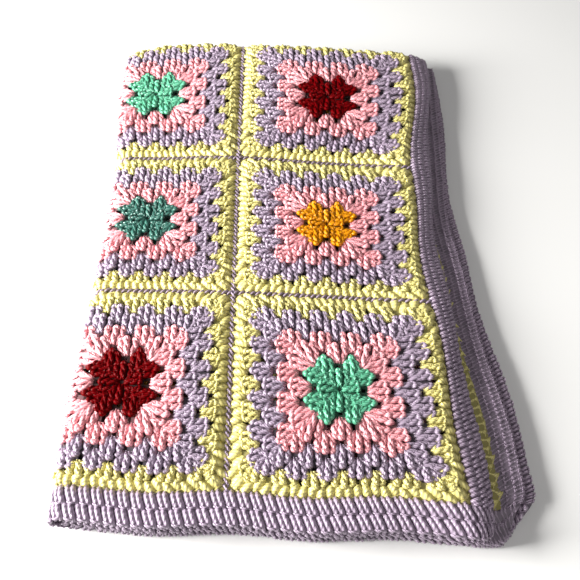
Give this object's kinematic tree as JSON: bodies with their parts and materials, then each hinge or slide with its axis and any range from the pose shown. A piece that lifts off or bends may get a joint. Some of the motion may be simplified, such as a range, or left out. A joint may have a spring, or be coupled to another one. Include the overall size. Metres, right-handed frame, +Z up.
{
  "type": "folded throw blanket",
  "caption": "Crocheted patchwork throw of square motifs with a border, folded in quarters; the upper half unfolds about the left fold.",
  "frame": {"origin": "under the middle of the folded pile, on the surface it lies on", "axes": "+X to the free side edges, away from the left fold; +Y from the near edge to the far fold; +Z up through the pile"},
  "size_m": [0.3234, 0.4652, 0.0317],
  "materials": {
    "yarn_mint": "matte",
    "yarn_teal": "matte",
    "yarn_red": "matte",
    "yarn_gold": "matte",
    "yarn_lavender": "matte"
  },
  "bodies": {
    "lower_half": {"bottom_square_near_left": "yarn_teal", "bottom_square_near_right": "yarn_gold", "bottom_square_middle_left": "yarn_red", "bottom_square_middle_right": "yarn_teal", "bottom_square_far_left": "yarn_gold", "bottom_square_far_right": "yarn_mint", "bottom_row_seam_middle": "yarn_lavender", "bottom_row_seam_far": "yarn_lavender", "bottom_column_seam": "yarn_lavender", "bottom_middle_seam": "yarn_lavender", "bottom_side_border": "yarn_lavender", "bottom_near_border": "yarn_lavender", "lower_square_near_left": "yarn_mint", "lower_square_near_right": "yarn_red", "lower_square_middle_left": "yarn_gold", "lower_square_middle_right": "yarn_mint", "lower_square_far_left": "yarn_red", "lower_square_far_right": "yarn_teal", "lower_row_seam_middle": "yarn_lavender", "lower_row_seam_far": "yarn_lavender", "lower_far_seam": "yarn_lavender", "lower_column_seam": "yarn_lavender", "lower_middle_seam": "yarn_lavender", "lower_side_border": "yarn_lavender", "lower_near_border": "yarn_lavender", "outer_fold_near": "yarn_red", "outer_fold_middle": "yarn_teal", "outer_fold_far": "yarn_mint", "outer_fold_border": "yarn_lavender", "inner_fold_near": "yarn_gold", "inner_fold_middle": "yarn_mint", "inner_fold_far": "yarn_teal", "inner_fold_border": "yarn_lavender"},
    "upper_half": {"upper_square_near_left": "yarn_gold", "upper_square_near_right": "yarn_teal", "upper_square_middle_left": "yarn_mint", "upper_square_middle_right": "yarn_red", "upper_square_far_left": "yarn_teal", "upper_square_far_right": "yarn_gold", "upper_row_seam_middle": "yarn_lavender", "upper_row_seam_far": "yarn_lavender", "upper_far_seam": "yarn_lavender", "upper_column_seam": "yarn_lavender", "upper_side_border": "yarn_lavender", "upper_near_border": "yarn_lavender", "top_square_near_left": "yarn_red", "top_square_near_right": "yarn_mint", "top_square_middle_left": "yarn_teal", "top_square_middle_right": "yarn_gold", "top_square_far_left": "yarn_mint", "top_square_far_right": "yarn_red", "top_row_seam_middle": "yarn_lavender", "top_row_seam_far": "yarn_lavender", "top_column_seam": "yarn_lavender", "top_side_border": "yarn_lavender", "top_near_border": "yarn_lavender"}
  },
  "joints": [
    {"name": "left_fold", "type": "hinge", "parent": "lower_half", "child": "upper_half", "pos_m": [-0.15218, 0, 0.01585], "axis": [0, -1, 0], "range_deg": [0, 180], "deforming": ["outer_fold_near", "outer_fold_middle", "outer_fold_far", "outer_fold_border", "inner_fold_near", "inner_fold_middle", "inner_fold_far", "inner_fold_border"]}
  ]
}
